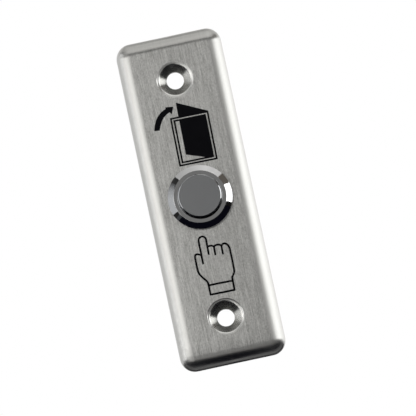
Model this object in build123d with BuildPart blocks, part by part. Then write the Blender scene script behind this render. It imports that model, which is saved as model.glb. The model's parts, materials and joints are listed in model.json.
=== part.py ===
"""Door exit button: a narrow wall plate with a 16 mm push switch, all sizes in millimetres.

The origin lies in the wall plane, on the switch axis. +X is right, +Z is up, and the plate faces -Y.
A height is measured from the wall plane: positive in front of the wall, negative inside it.
"""

from build123d import *
from math import cos, pi, sin, sqrt, tan
import os

os.makedirs("parts", exist_ok=True)

# Thread of the switch and the nut that clamps it
thread_depth = 0.6  # crest to root of the 1 mm thread
thread_gap = 0.07  # radial, between the root and the nut's own crest
thread_relief = 0.2  # plain neck left in front of the thread
barrel_clearance = 0.1  # radial, between the barrel and the hole in the plate
nut_wall = 1.5  # from the crest of the thread to the middle of a flat
nut_thickness = 3.0
nut_room = 0.975  # beside a flat of the nut, to where the plate's rim begins to curve

# Faceplate: a shallow pan pressed from one sheet
sheet = 1.2
plate_rise = 3.2  # wall plane to the flat face
rim_wall = 0.1  # short upright edge where the sheet was trimmed
rim_run = 3.9  # how far the rounded rim reaches in from the edge, a quarter of an ellipse
face_corner = 0.15  # corner of the flat face, seen from the front

# Dimples for the two countersunk wall screws
screw_spacing = 66.0
end_distance = 12.5  # from a screw to the end of the plate
screw_hole_radius = 2.35
sink_radius = 4.2  # where the 45 degree cone meets the rolled shoulder
shoulder_radius = 1.1
dimple_land = 0.7  # flat ring round the hole, on the wall plane

# Front of the switch housing and its gasket
gasket_thickness = 0.35
gasket_clearance = 0.05
gasket_cover = 0.15  # how far the flange stands out over the gasket
flange_overhang = 0.7  # beyond the crest of the thread
flange_edge = 0.55
bezel_run = 1.6
bezel_rise = 0.9
rim_width = 1.1  # flat polished ring between the bezel and the cap's well
rim_edge = 0.12  # broken edges of that ring

# Button cap
travel = 1.5
travel_spare = 0.3  # left under the skirt when fully pressed
cap_gap = 0.2  # radial, between the cap and its well
cap_proud = 1.8  # above the flat ring, at rest
cap_depth = 2.9
cap_top_wall = 1.3
cap_skirt = 0.8
cap_chamfer = 0.22
stem_radius = 2.8
stem_clearance = 0.05
pin_radius = 1.2
pin_length = 2.0
press_gap = 0.02  # between pieces that are pressed or snapped together
seal_section = 1.0
seal_land = 0.25  # bore left beyond the seal at both ends of the travel

# Rear chamber of the housing
barrel_wall = 1.0
barrel_chamfer = 0.4

# Plunger, bridge contact and clip
stop_gap = 0.02
guide_clearance = 0.15
plunger_head = 1.2
boss_radius = 1.9
boss_length = 1.5
tail_radius = 1.2
tail_tip = 0.9  # behind the clip
tail_chamfer = 0.3
clip_thickness = 0.5
clip_groove_depth = 0.3
clip_clearance = 0.05
clip_rim = 0.9  # beyond the tail
clip_opening = 1.5
bridge_end = 1.2  # beyond the middle of a contact tip
bridge_width = 3.6
bridge_thickness = 0.6
bridge_clearance = 0.15
tip_radius = 1.0
tip_height = 0.5
tip_dome = 0.12
rivet_radius = 0.5
contact_clearance = 0.05  # left between the tips at the end of the travel

# Springs, their round wire drawn with a few flat sides
wire_sides = 10
return_wire = 0.45
return_turns = 2.5
contact_wire = 0.35
contact_turns = 4.0
contact_spring_length = 2.5
contact_spring_clearance = 0.42  # radial, round the plunger's boss
seat_gap = 0.02

# Terminals, their screws and the moulded base
strip_thickness = 0.6
strip_width = 3.6
strip_bend = 0.5
strip_clearance = 0.05
pad_reach = 1.4  # front pad, from the fixed tip inwards
pad_margin = 0.1  # rear pad, beyond the washer
leg_gap = 1.6  # from the middle of a screw to the strip's leg
leg_cover = 0.75  # from the leg to the side of the plug
plug_clearance = 0.05
plug_depth = 1.65
base_flange = 1.5
base_edge = 0.3
nut_pass = 0.1  # radial, so that the nut slips over the base
barrier_width = 1.2
barrier_height = 2.4
blind_floor = 0.55  # left under a screw's hole
blind_spare = 0.3  # below the end of a screw
terminal_thread_radius = 1.25
terminal_core_radius = 1.0
washer_side = 4.4
washer_thickness = 0.5
washer_corner = 0.3
washer_room = 0.6  # between the barrier and a washer
screw_head_radius = 2.1
screw_head_height = 1.5
screw_head_fillet = 0.5
slot_width = 0.6
slot_depth = 0.7

# Radii and widths that follow from the values above
terminal_x = barrier_width / 2 + washer_room + washer_side / 2
leg_outer = terminal_x + leg_gap + strip_thickness
plug_radius = leg_outer + leg_cover
chamber_radius = plug_radius + plug_clearance
thread_core = chamber_radius + barrel_wall
thread_radius = thread_core + thread_depth  # 8 mm: the switch fits a 16 mm hole
nut_bore = thread_core + thread_gap
nut_flat = thread_radius + nut_wall
flange_radius = thread_radius + flange_overhang
well_radius = flange_radius - bezel_run - rim_width
cap_radius = well_radius - cap_gap
web_bore = stem_radius + stem_clearance
seal_centre = web_bore - seal_section / 2 - press_gap / 2
seal_groove_radius = seal_centre - seal_section / 2 - press_gap / 2
return_coil_radius = (stem_radius + cap_radius - cap_skirt) / 2
contact_coil_radius = boss_radius + contact_spring_clearance + contact_wire / 2
base_radius = thread_core - nut_pass
bridge_length = 2 * (terminal_x + bridge_end)
plate_width = 2 * (nut_flat + nut_room + rim_run)
plate_length = screw_spacing + 2 * end_distance
corner_radius = rim_run + face_corner
web_thickness = travel + seal_section + 2 * seal_land
hole_depth = plug_depth + base_flange - blind_floor

# Heights of the front, from the plate outwards
sheet_back = plate_rise - sheet
flange_back = plate_rise + gasket_thickness
flange_front = flange_back + flange_edge
rim_front = flange_front + bezel_rise
cap_front = rim_front + cap_proud

# Heights of the inside, from the cap backwards
cap_back = cap_front - cap_depth
cap_roof = cap_front - cap_top_wall
web_front = cap_back - travel - travel_spare
web_back = web_front - web_thickness
seal_height = web_front - seal_land - seal_section / 2
plunger_front = web_back - stop_gap
plunger_back = plunger_front - plunger_head
boss_back = plunger_back - boss_length
bridge_front = plunger_back - contact_spring_length
bridge_back = bridge_front - bridge_thickness
clip_back = bridge_back - clip_thickness
tail_back = clip_back - tail_tip
fixed_tip_front = bridge_back - tip_height - travel - contact_clearance
strip_front = fixed_tip_front - tip_height
base_front = strip_front - strip_thickness
barrel_back = base_front - plug_depth
base_back = barrel_back - base_flange
washer_front = base_back - strip_thickness
screw_seat = washer_front - washer_thickness

# Plane of a turned outline: first number = radius, second number = height
SECTION = Plane(origin=(0, 0, 0), x_dir=(1, 0, 0), z_dir=(0, 0, -1))


def front(height):
    """Plane parallel to the wall at this height, seen from the front."""
    return Plane.XZ.offset(height)


def outline(*points):
    """Closed outline of (radius, height) points, to be revolved about the switch axis."""
    with BuildSketch(SECTION) as section:
        with BuildLine():
            Polyline(*points, close=True)
        make_face()
    return section.sketch


def save(builder, label):
    """Name a finished piece and write it to its own file."""
    builder.part.label = label
    export_step(builder.part, f"parts/{label}.step")


def rim(start, outward, heading, corner, run, top):
    """Section through the rim: upright edge, elliptic roll, flat top as far as the corner's centre."""
    with BuildSketch(Plane(origin=start, x_dir=outward, z_dir=heading)) as section:
        with BuildLine():
            Polyline((-corner, 0), (0, 0), (0, -rim_wall))
            EllipticalCenterArc((-run, -rim_wall), run, top - rim_wall, start_angle=270, arc_size=90)
            Polyline((-run, -top), (-corner, -top), (-corner, 0))
        make_face()
    return section.sketch


def pan(edge_inset, top):
    """Solid block with rolled rims: one quarter from two strips, a turned corner and a core, then mirrored."""
    half_width = plate_width / 2 - edge_inset
    half_length = plate_length / 2 - edge_inset
    corner = corner_radius - edge_inset
    run = rim_run - edge_inset
    corner_x, corner_z = half_width - corner, half_length - corner
    with BuildPart() as block:
        with BuildSketch(front(0)):
            Rectangle(corner_x, corner_z, align=(Align.MIN, Align.MIN))
        extrude(amount=top)
        extrude(rim((half_width, 0, 0), (1, 0, 0), (0, 0, 1), corner, run, top), amount=corner_z)
        extrude(rim((0, 0, half_length), (0, 0, 1), (-1, 0, 0), corner, run, top), amount=-corner_x)
        revolve(
            rim((half_width, 0, corner_z), (1, 0, 0), (0, 0, 1), corner, run, top),
            axis=Axis((corner_x, 0, corner_z), (0, -1, 0)),
            revolution_arc=90,
        )
        mirror(about=Plane.YZ)
        mirror(about=Plane.XY)
    return block.part


# One pressed sheet: the pan, two dimples pushed back to the wall plane, and the hole for the switch
cone_mouth = plate_rise - shoulder_radius * (1 - cos(pi / 4))
cone_throat = cone_mouth - (sink_radius - screw_hole_radius)
shoulder_edge = sink_radius + shoulder_radius * sin(pi / 4)
dimple_foot = screw_hole_radius + dimple_land

with BuildSketch(SECTION) as dimple_hollow:
    with BuildLine():
        Line((0, plate_rise), (shoulder_edge, plate_rise))
        RadiusArc((shoulder_edge, plate_rise), (sink_radius, cone_mouth), shoulder_radius)
        Polyline(
            (sink_radius, cone_mouth),
            (screw_hole_radius, cone_throat),
            (screw_hole_radius, 0),
            (0, 0),
        )
        Line((0, 0), (0, plate_rise))
    make_face()

with BuildPart() as dimple_cutter:
    revolve(dimple_hollow.sketch, axis=Axis.Y)

with BuildPart() as dimple_boss:
    revolve(
        outline((0, 0), (dimple_foot, 0), (dimple_foot + sheet_back, sheet_back), (0, sheet_back)),
        axis=Axis.Y,
    )

with BuildPart() as faceplate:
    add(pan(0, plate_rise))
    add(pan(sheet, sheet_back), mode=Mode.SUBTRACT)
    with Locations(*[(0, 0, z) for z in (-screw_spacing / 2, screw_spacing / 2)]):
        add(dimple_boss.part)
        add(dimple_cutter.part, mode=Mode.SUBTRACT)
    with BuildSketch(front(plate_rise)):
        Circle(thread_radius + barrel_clearance)
    extrude(amount=-plate_rise, mode=Mode.SUBTRACT)
save(faceplate, "faceplate")


# Turned housing: flange with sloped bezel, cap well, web with the stem's bore, threaded barrel
with BuildPart() as switch_housing:
    revolve(
        outline(
            (well_radius, rim_front),
            (flange_radius - bezel_run, rim_front),
            (flange_radius, flange_front),
            (flange_radius, flange_back),
            (thread_radius, flange_back),
            (thread_radius, sheet_back + thread_relief),
            (thread_core, sheet_back + thread_relief),
            (thread_core, barrel_back),
            (chamber_radius, barrel_back),
            (chamber_radius, web_back),
            (web_bore, web_back),
            (web_bore, web_front),
            (well_radius, web_front),
        ),
        axis=Axis.Y,
    )
    fillet(switch_housing.edges().group_by(Axis.Y)[0], rim_edge)
    barrel_end = switch_housing.edges().group_by(Axis.Y)[-1]
    chamfer(barrel_end.sort_by(SortBy.RADIUS)[-1], barrel_chamfer)
save(switch_housing, "switch_housing")


# Flat seal between the flange and the plate
with BuildPart() as panel_gasket:
    with BuildSketch(front(plate_rise)):
        Circle(flange_radius - gasket_cover)
        Circle(thread_radius + gasket_clearance, mode=Mode.SUBTRACT)
    extrude(amount=gasket_thickness)
save(panel_gasket, "panel_gasket")


# Hexagon nut behind the sheet, its corners turned off at 30 degrees
nut_back = sheet_back - nut_thickness
nut_corner = nut_flat / cos(pi / 6)
corner_drop = (nut_corner - nut_flat) * tan(pi / 6)

with BuildPart() as panel_nut:
    with BuildSketch(front(nut_back)):
        RegularPolygon(nut_flat, 6, major_radius=False, rotation=30)
        Circle(nut_bore, mode=Mode.SUBTRACT)
    extrude(amount=nut_thickness)
    revolve(
        outline(
            (0, sheet_back),
            (nut_flat, sheet_back),
            (nut_corner, sheet_back - corner_drop),
            (nut_corner, nut_back + corner_drop),
            (nut_flat, nut_back),
            (0, nut_back),
        ),
        axis=Axis.Y,
        mode=Mode.INTERSECT,
    )
save(panel_nut, "panel_nut")


# Turned cap: disc, skirt round the return spring, stem with the seal's groove, and a pin for the plunger
with BuildPart() as button_cap:
    revolve(
        outline(
            (0, cap_front),
            (cap_radius - cap_chamfer, cap_front),
            (cap_radius, cap_front - cap_chamfer),
            (cap_radius, cap_back),
            (cap_radius - cap_skirt, cap_back),
            (cap_radius - cap_skirt, cap_roof),
            (stem_radius, cap_roof),
            (stem_radius, seal_height + seal_section / 2 + press_gap),
            (seal_groove_radius, seal_height + seal_section / 2 + press_gap),
            (seal_groove_radius, seal_height - seal_section / 2 - press_gap),
            (stem_radius, seal_height - seal_section / 2 - press_gap),
            (stem_radius, plunger_front),
            (pin_radius, plunger_front),
            (pin_radius, plunger_front - pin_length),
            (0, plunger_front - pin_length),
        ),
        axis=Axis.Y,
    )
save(button_cap, "button_cap")


# Round seal in the stem's groove
with BuildPart() as cap_o_ring:
    with BuildSketch(SECTION):
        with Locations((seal_centre, seal_height)):
            Circle(seal_section / 2)
    revolve(axis=Axis.Y)
save(cap_o_ring, "cap_o_ring")


# Moulded plunger: guide disc that stops against the web, socket for the pin, boss and tail
with BuildPart() as plunger:
    revolve(
        outline(
            (pin_radius + press_gap, plunger_front),
            (chamber_radius - guide_clearance, plunger_front),
            (chamber_radius - guide_clearance, plunger_back),
            (boss_radius, plunger_back),
            (boss_radius, boss_back),
            (tail_radius, boss_back),
            (tail_radius, bridge_back),
            (tail_radius - clip_groove_depth, bridge_back),
            (tail_radius - clip_groove_depth, clip_back),
            (tail_radius, clip_back),
            (tail_radius, tail_back),
            (0, tail_back),
            (0, plunger_front - pin_length - press_gap),
            (pin_radius + press_gap, plunger_front - pin_length - press_gap),
        ),
        axis=Axis.Y,
    )
    chamfer(plunger.edges().group_by(Axis.Y)[-1], tail_chamfer)
save(plunger, "plunger")


# Open ring clip in the tail's groove, which holds the bridge
with BuildPart() as retaining_clip:
    with BuildSketch(front(clip_back)):
        Circle(tail_radius + clip_rim)
        Circle(tail_radius - clip_groove_depth + clip_clearance, mode=Mode.SUBTRACT)
        with Locations((0, -tail_radius - clip_rim)):
            Rectangle(clip_opening, 2 * (tail_radius + clip_rim), mode=Mode.SUBTRACT)
    extrude(amount=clip_thickness)
save(retaining_clip, "retaining_clip")


def coil_spring(coil_radius, wire, front_height, back_height, turns):
    """Round wire wound about the switch axis between two seats."""
    run = front_height - back_height - wire - 2 * seat_gap
    start = front_height - seat_gap - wire / 2
    with BuildPart() as spring:
        with BuildLine() as coil:
            Helix(run / turns, run, coil_radius, center=(0, -start, 0), direction=(0, 1, 0))
        with BuildSketch(Plane(origin=coil.line @ 0, z_dir=coil.line % 0)):
            RegularPolygon(wire / 2, wire_sides)
        sweep(is_frenet=True)
    return spring


return_spring = coil_spring(return_coil_radius, return_wire, cap_roof, web_front, return_turns)
save(return_spring, "return_spring")

contact_spring = coil_spring(contact_coil_radius, contact_wire, plunger_back, bridge_front, contact_turns)
save(contact_spring, "contact_spring")


# Brass bar that joins the two fixed tips, with a rivet hole near each end
with BuildPart() as bridge_contact:
    with BuildSketch(front(bridge_back)):
        SlotOverall(bridge_length, bridge_width)
        Circle(tail_radius + bridge_clearance, mode=Mode.SUBTRACT)
        with GridLocations(2 * terminal_x, 0, 2, 1):
            Circle(rivet_radius + press_gap, mode=Mode.SUBTRACT)
    extrude(amount=bridge_thickness)
save(bridge_contact, "bridge_contact")


def contact_tip(x, seat, towards):
    """Riveted contact tip at x: domed head on the seat, shank back through the metal that carries it.

    towards is 1 where the head faces the front and -1 where it faces the wall.
    """
    shank = bridge_thickness if towards < 0 else strip_thickness
    dome_radius = (tip_radius**2 + tip_dome**2) / (2 * tip_dome)
    dome_sag = dome_radius - sqrt(dome_radius**2 - (tip_radius / 2) ** 2)
    foot = seat - towards * shank
    edge = seat + towards * (tip_height - tip_dome)
    crown = seat + towards * tip_height
    with BuildSketch(SECTION) as section:
        with BuildLine():
            Polyline(
                (0, foot),
                (rivet_radius, foot),
                (rivet_radius, seat),
                (tip_radius, seat),
                (tip_radius, edge),
            )
            ThreePointArc((tip_radius, edge), (tip_radius / 2, crown - towards * dome_sag), (0, crown))
            Line((0, crown), (0, foot))
        make_face()
    with BuildPart() as turned:
        revolve(section.sketch, axis=Axis.Y)
    with BuildPart() as tip:
        with Locations((x, 0, 0)):
            add(turned.part)
    return tip


# Black moulded base: plug in the barrel, flange behind it, slots for the strips, barrier between the screws
with BuildPart() as terminal_base:
    revolve(
        outline(
            (0, base_front),
            (plug_radius, base_front),
            (plug_radius, barrel_back),
            (base_radius, barrel_back),
            (base_radius, base_back + base_edge),
            (base_radius - base_edge, base_back),
            (0, base_back),
        ),
        axis=Axis.Y,
    )
    with BuildSketch(front(base_back - barrier_height)):
        Circle(base_radius - base_edge)
        Rectangle(barrier_width, 2 * base_radius, mode=Mode.INTERSECT)
    extrude(amount=barrier_height)
    fillet(terminal_base.edges().group_by(Axis.Y)[-1], base_edge)
    with BuildSketch(front(base_back)):
        with GridLocations(2 * leg_outer - strip_thickness, 0, 2, 1):
            Rectangle(strip_thickness + 2 * strip_clearance, strip_width + 2 * strip_clearance)
    extrude(amount=base_front - base_back, mode=Mode.SUBTRACT)
    with BuildSketch(front(base_back)):
        with GridLocations(2 * terminal_x, 0, 2, 1):
            Circle(terminal_thread_radius + strip_clearance)
    extrude(amount=hole_depth, mode=Mode.SUBTRACT)
save(terminal_base, "terminal_base")


# Contacts, terminals, washers and screws of both sides
for side, sign in (("left", -1), ("right", 1)):
    screw_x = sign * terminal_x

    bridge_tip = contact_tip(screw_x, bridge_back, -1)
    save(bridge_tip, f"bridge_tip_{side}")

    fixed_tip = contact_tip(screw_x, strip_front, 1)
    save(fixed_tip, f"fixed_tip_{side}")

    # Strip bent round the base: pad with the fixed tip, leg through the slot, pad under the screw
    with BuildPart() as terminal:
        with BuildSketch(Plane.XY.offset(-strip_width / 2)):
            with BuildLine():
                Polyline(
                    (sign * (terminal_x - pad_reach), -strip_front),
                    (sign * leg_outer, -strip_front),
                    (sign * leg_outer, -washer_front),
                    (sign * (terminal_x - washer_side / 2 - pad_margin), -washer_front),
                    (sign * (terminal_x - washer_side / 2 - pad_margin), -base_back),
                    (sign * (leg_outer - strip_thickness), -base_back),
                    (sign * (leg_outer - strip_thickness), -base_front),
                    (sign * (terminal_x - pad_reach), -base_front),
                    close=True,
                )
            make_face()
        extrude(amount=strip_width)
        upright_edges = terminal.edges().filter_by(Axis.Z)
        fillet(upright_edges.filter_by_position(Axis.X, sign * leg_outer, sign * leg_outer), strip_bend)
        with BuildSketch(front(strip_front)):
            with Locations((screw_x, 0)):
                Circle(rivet_radius + press_gap)
        extrude(amount=-strip_thickness, mode=Mode.SUBTRACT)
        with BuildSketch(front(base_back)):
            with Locations((screw_x, 0)):
                Circle(terminal_core_radius + strip_clearance)
        extrude(amount=-strip_thickness, mode=Mode.SUBTRACT)
    save(terminal, f"terminal_{side}")

    with BuildPart() as clamp_washer:
        with BuildSketch(front(screw_seat)):
            with Locations((screw_x, 0)):
                RectangleRounded(washer_side, washer_side, washer_corner)
                Circle(terminal_thread_radius + strip_clearance, mode=Mode.SUBTRACT)
        extrude(amount=washer_thickness)
    save(clamp_washer, f"clamp_washer_{side}")

    with BuildPart() as terminal_screw:
        with BuildSketch(front(screw_seat - screw_head_height)):
            with Locations((screw_x, 0)):
                Circle(screw_head_radius)
        extrude(amount=screw_head_height)
        fillet(terminal_screw.edges().group_by(Axis.Y)[-1], screw_head_fillet)
        with BuildSketch(front(screw_seat)):
            with Locations((screw_x, 0)):
                Circle(terminal_core_radius)
        extrude(amount=washer_thickness + strip_thickness + hole_depth - blind_spare)
        with BuildSketch(front(screw_seat - screw_head_height)):
            with Locations((screw_x, 0)):
                Rectangle(2 * screw_head_radius, slot_width)
        extrude(amount=slot_depth, mode=Mode.SUBTRACT)
    save(terminal_screw, f"terminal_screw_{side}")
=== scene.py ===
# %% [markdown]
# # A door exit button, dressed for its portrait
# The part is a narrow pressed plate of brushed stainless steel with a 16 mm push switch in the middle.
# The CAD model gives every solid its place and size. Blender adds what a CAD model has no words for:
# the brushing, the polish, the printed signs, the rolled thread and the light of a small product studio.
# The frame is loaded first, because every later piece is set against it.

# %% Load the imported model
import json
from math import cos, pi, radians, sin

import bmesh
import bpy
from mathutils import Matrix, Vector


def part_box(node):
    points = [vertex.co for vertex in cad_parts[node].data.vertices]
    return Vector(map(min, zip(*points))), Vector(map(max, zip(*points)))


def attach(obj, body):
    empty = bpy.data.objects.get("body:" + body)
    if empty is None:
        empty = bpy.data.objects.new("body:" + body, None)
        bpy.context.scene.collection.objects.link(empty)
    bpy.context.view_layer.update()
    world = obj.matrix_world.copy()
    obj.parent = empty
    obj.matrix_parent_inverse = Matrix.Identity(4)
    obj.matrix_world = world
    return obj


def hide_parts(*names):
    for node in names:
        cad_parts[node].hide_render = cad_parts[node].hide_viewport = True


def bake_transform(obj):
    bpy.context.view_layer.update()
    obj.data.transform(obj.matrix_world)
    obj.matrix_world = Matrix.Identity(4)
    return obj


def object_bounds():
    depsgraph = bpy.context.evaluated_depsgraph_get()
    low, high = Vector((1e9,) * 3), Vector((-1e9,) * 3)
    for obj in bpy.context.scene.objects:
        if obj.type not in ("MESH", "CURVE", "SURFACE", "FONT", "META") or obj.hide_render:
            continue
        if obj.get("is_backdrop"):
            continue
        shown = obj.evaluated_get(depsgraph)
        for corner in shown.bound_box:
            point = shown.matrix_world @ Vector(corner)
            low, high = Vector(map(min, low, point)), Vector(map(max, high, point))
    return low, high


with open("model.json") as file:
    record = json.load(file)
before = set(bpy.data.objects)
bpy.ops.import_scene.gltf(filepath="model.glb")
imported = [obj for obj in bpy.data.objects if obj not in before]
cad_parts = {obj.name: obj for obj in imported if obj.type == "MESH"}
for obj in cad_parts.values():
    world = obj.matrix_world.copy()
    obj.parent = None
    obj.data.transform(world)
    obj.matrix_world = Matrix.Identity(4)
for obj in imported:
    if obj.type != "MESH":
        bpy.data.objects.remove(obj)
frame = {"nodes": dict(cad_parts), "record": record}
cad_low, cad_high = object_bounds()
MM = 0.001  # the model is in metres, and sizes below are easier to read in millimetres
print("loaded", len(frame["nodes"]), "solids, box", [round(x / MM, 2) for x in (cad_high - cad_low)], "mm")

# %% [markdown]
# ## Camera
# The photograph was taken from far away with a long lens, so the plate's long edges stay parallel.
# The lens looks at the plate from slightly below, and the plate leans to the left in the picture.
# The lean could be made by turning the plate, but the plate hangs straight on its wall in the CAD frame,
# so the camera is rolled instead.

# %% Set up the camera
below = radians(9.5)  # how far under the plate's own axis the camera stands
lean = radians(12.1)  # roll of the plate in the picture, top to the left
distance = 1.553
picture_shift = (1.98 * MM, -2.295 * MM)  # moves the plate a little left of and above the picture's middle

towards_camera = Vector((0, -cos(below), -sin(below)))
level_right = Vector((1, 0, 0))
level_up = level_right.cross(-towards_camera)
camera_up = level_up * cos(lean) + level_right * sin(lean)
camera_right = level_right * cos(lean) - level_up * sin(lean)

camera_data = bpy.data.cameras.new("portrait_lens")
camera_data.lens, camera_data.sensor_width = 500, 36
camera_data.clip_start, camera_data.clip_end = 0.05, 20
camera = bpy.data.objects.new("portrait_camera", camera_data)
place = towards_camera * distance + camera_right * picture_shift[0] + camera_up * picture_shift[1]
turn = Matrix((camera_right, camera_up, towards_camera)).transposed().to_4x4()
camera.matrix_world = Matrix.Translation(place) @ turn
bpy.context.scene.collection.objects.link(camera)
bpy.context.scene.camera = camera
bpy.context.scene.view_settings.view_transform = "Standard"
print("camera at", [round(x, 3) for x in place])

# %% [markdown]
# ## Node shorthand
# The room, the finishes, the signs and the thread are all node trees, and a tree is tedious to write out
# socket by socket. The helpers below add a node together with all that feeds it. What feeds a socket is
# a plain value or the output of another node, and the helper tells them apart.

# %% Helpers for node trees
def feed(tree, socket, value):
    """Link another node's output to an input socket, or give the socket a plain value."""
    if isinstance(value, bpy.types.NodeSocket):
        tree.links.new(value, socket)
    else:
        socket.default_value = value


def fill(tree, node, **values):
    """Feed a node's inputs by name, with _ for a space."""
    for name, value in values.items():
        feed(tree, node.inputs[name.replace("_", " ")], value)
    return node


def add(tree, kind, settings=None, **values):
    """Add a node with its own settings and its inputs. The kind of a shader node goes without its prefix."""
    made = tree.nodes.new(kind if kind.startswith("Geometry") else "ShaderNode" + kind)
    for name, value in (settings or {}).items():
        setattr(made, name, value)
    return fill(tree, made, **values)


def math_node(tree, operation, *values):
    """Work on one or two numbers with a Math node."""
    made = add(tree, "Math", {"operation": operation})
    for socket, value in zip(made.inputs, values):
        feed(tree, socket, value)
    return made.outputs[0]


def vector_node(tree, operation, *values):
    """Work on one or two vectors with a Vector Math node."""
    made = add(tree, "VectorMath", {"operation": operation})
    for socket, value in zip(made.inputs, values):
        feed(tree, socket, value)
    return made.outputs["Value" if operation in ("DOT_PRODUCT", "LENGTH") else "Vector"]


def times(tree, first, second):
    """Two numbers multiplied."""
    return math_node(tree, "MULTIPLY", first, second)


def total(tree, first, *others):
    """Numbers added up, one after the other."""
    for other in others:
        first = math_node(tree, "ADD", first, other)
    return first


def mix_shaders(tree, factor, first, second, output):
    """Feed a mix of two shaders to an output node."""
    either = add(tree, "MixShader", Fac=factor)
    for socket, shader in zip(either.inputs[1:], (first, second)):
        tree.links.new(shader.outputs[0], socket)
    fill(tree, output, Surface=either.outputs[0])

# %% [markdown]
# ## White surroundings
# A product photograph has a plain white ground. Lighting it until it burns out would also bleach the part,
# so the world is white only for rays that come from the camera, a reflection or a clear material.
# For everything else it is an even grey that fills the shadows.

# %% Build the world
world = bpy.data.worlds.new("studio_air")
bpy.context.scene.world = world
world.use_nodes = True
air = world.node_tree
air.nodes.clear()
ray = add(air, "LightPath").outputs
clear = math_node(air, "MAXIMUM", ray["Is Glossy Ray"], ray["Is Transmission Ray"])
seen = math_node(air, "MAXIMUM", ray["Is Camera Ray"], clear)
fill_light = add(air, "Background", Color=(0.55, 0.55, 0.55, 1))
white_light = add(air, "Background", Color=(1, 1, 1, 1))
mix_shaders(air, seen, fill_light, white_light, add(air, "OutputWorld"))
print("world:", len(air.nodes), "nodes")

# %% [markdown]
# ## Light tent
# Metal shows its surroundings, so the look of a steel plate is mostly the look of the room.
# A photographer builds that room from white and black cards. Each card here is a flat panel that glows
# or stays dark, is hidden from the camera, and is placed where the polished bezel of the switch
# mirrors it in the photograph: white at the right, grey with one white strip at the left, grey above,
# black below. The gaps between the cards give the short dark blocks on the bezel.

# %% Helpers for the studio
def stage_piece(name, points, faces, material, rays=("diffuse", "glossy")):
    """Make a mesh that belongs to the studio and is seen only by the named kinds of ray."""
    mesh = bpy.data.meshes.new(name)
    mesh.from_pydata(points, [], faces)
    mesh.materials.append(material)
    piece = bpy.data.objects.new(name, mesh)
    bpy.context.scene.collection.objects.link(piece)
    for kind in ("camera", "diffuse", "glossy", "transmission", "volume_scatter", "shadow"):
        setattr(piece, "visible_" + kind, kind in rays)
    piece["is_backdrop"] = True
    return piece


def profile(tree, value, points):
    """A brightness that runs through (place, brightness) points as a value grows, with a Float Curve."""
    first, last = points[0][0], points[-1][0]
    place = add(tree, "MapRange", Value=value, From_Min=first, From_Max=last)
    curve = add(tree, "FloatCurve", Value=place.outputs["Result"])
    line = curve.mapping.curves[0]
    line.points[0].location, line.points[-1].location = (0, points[0][1]), (1, points[-1][1])
    for where, height in points[1:-1]:
        line.points.new((where - first) / (last - first), height)
    for point in line.points:
        point.handle_type = "VECTOR"
    curve.mapping.update()
    return curve.outputs["Value"]


def glow(name, colour, strength, fades=()):
    """A material that gives light. Each fade is an axis and its (place, brightness) points, at most 1."""
    material = bpy.data.materials.new(name)
    material.use_nodes = True
    tree = material.node_tree
    tree.nodes.clear()
    axes = add(tree, "SeparateXYZ", Vector=add(tree, "TexCoord").outputs["Object"]) if fades else None
    for axis, points in fades:
        strength = times(tree, profile(tree, axes.outputs[axis], points), strength)
    light = add(tree, "Emission", Color=(*colour, 1), Strength=strength)
    add(tree, "OutputMaterial", Surface=light.outputs[0])
    return material


def rectangle(left, low, right, high):
    """The four corners of a rectangle, in turn."""
    return [(left, low), (right, low), (right, high), (left, high)]

# %% [markdown]
# A real card is never lit evenly: it grows darker away from its lamp. So each gets a glowing paint with a
# colour and a strength, and fades along one or two axes where its mirror image does.

# %% Paint the cards
left_cool_z = [(-0.15, 1.0), (0.16, 1.0), (0.24, 0.9), (0.31, 0.76), (0.39, 0.56), (0.46, 0.34), (0.51, 0.22)]
top_grey_x = [(-0.4, 0.63), (-0.23, 0.65), (0.0, 0.84), (0.18, 1.0), (0.39, 0.76), (0.6, 0.7)]
top_grey_y = [(-0.74, 1.0), (-0.28, 1.0), (-0.25, 0.82), (-0.17, 0.82), (-0.12, 0.95), (0.06, 0.9)]
top_dim_x = [(-0.9, 1.0), (-0.35, 1.0), (0.0, 0.62), (0.35, 1.0), (0.9, 1.0)]
top_dim_y = [(0.05, 0.30), (0.14, 0.34), (0.22, 1.0), (0.8, 1.0)]
paint_table = [
    # name, colour, strength, fades
    ("right_white", (1.0, 1.0, 0.99), 1.9),
    ("right_pale", (1.0, 1.0, 0.99), 1.35),
    ("right_brown", (1.0, 0.90, 0.78), 0.12),
    ("left_cool", (0.97, 0.985, 1.0), 0.5, [("Z", left_cool_z)]),
    ("left_white", (1.0, 1.0, 1.0), 2.5),
    ("left_grey", (1.0, 1.0, 1.0), 0.75),
    ("top_grey", (1.0, 0.99, 0.965), 0.89, [("X", top_grey_x), ("Y", top_grey_y)]),
    ("top_dim", (1.0, 0.99, 0.965), 0.95, [("X", top_dim_x), ("Y", top_dim_y)]),
    ("low_black", (0.5, 0.5, 1.0), 0.006),
    ("low_dark", (0.9, 0.95, 1.0), 0.06),
    ("low_grey", (1.0, 1.0, 1.0), 0.25),
]
paints = {row[0]: glow(*row) for row in paint_table}
print("paints:", len(paints))

# %% [markdown]
# Upright cards stand to both sides of the plate, and level ones hang above it and lie below it. The low ones
# and the one behind the top are hidden from diffuse rays, so they change what the metal mirrors and keep no
# light from the rest.

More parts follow.
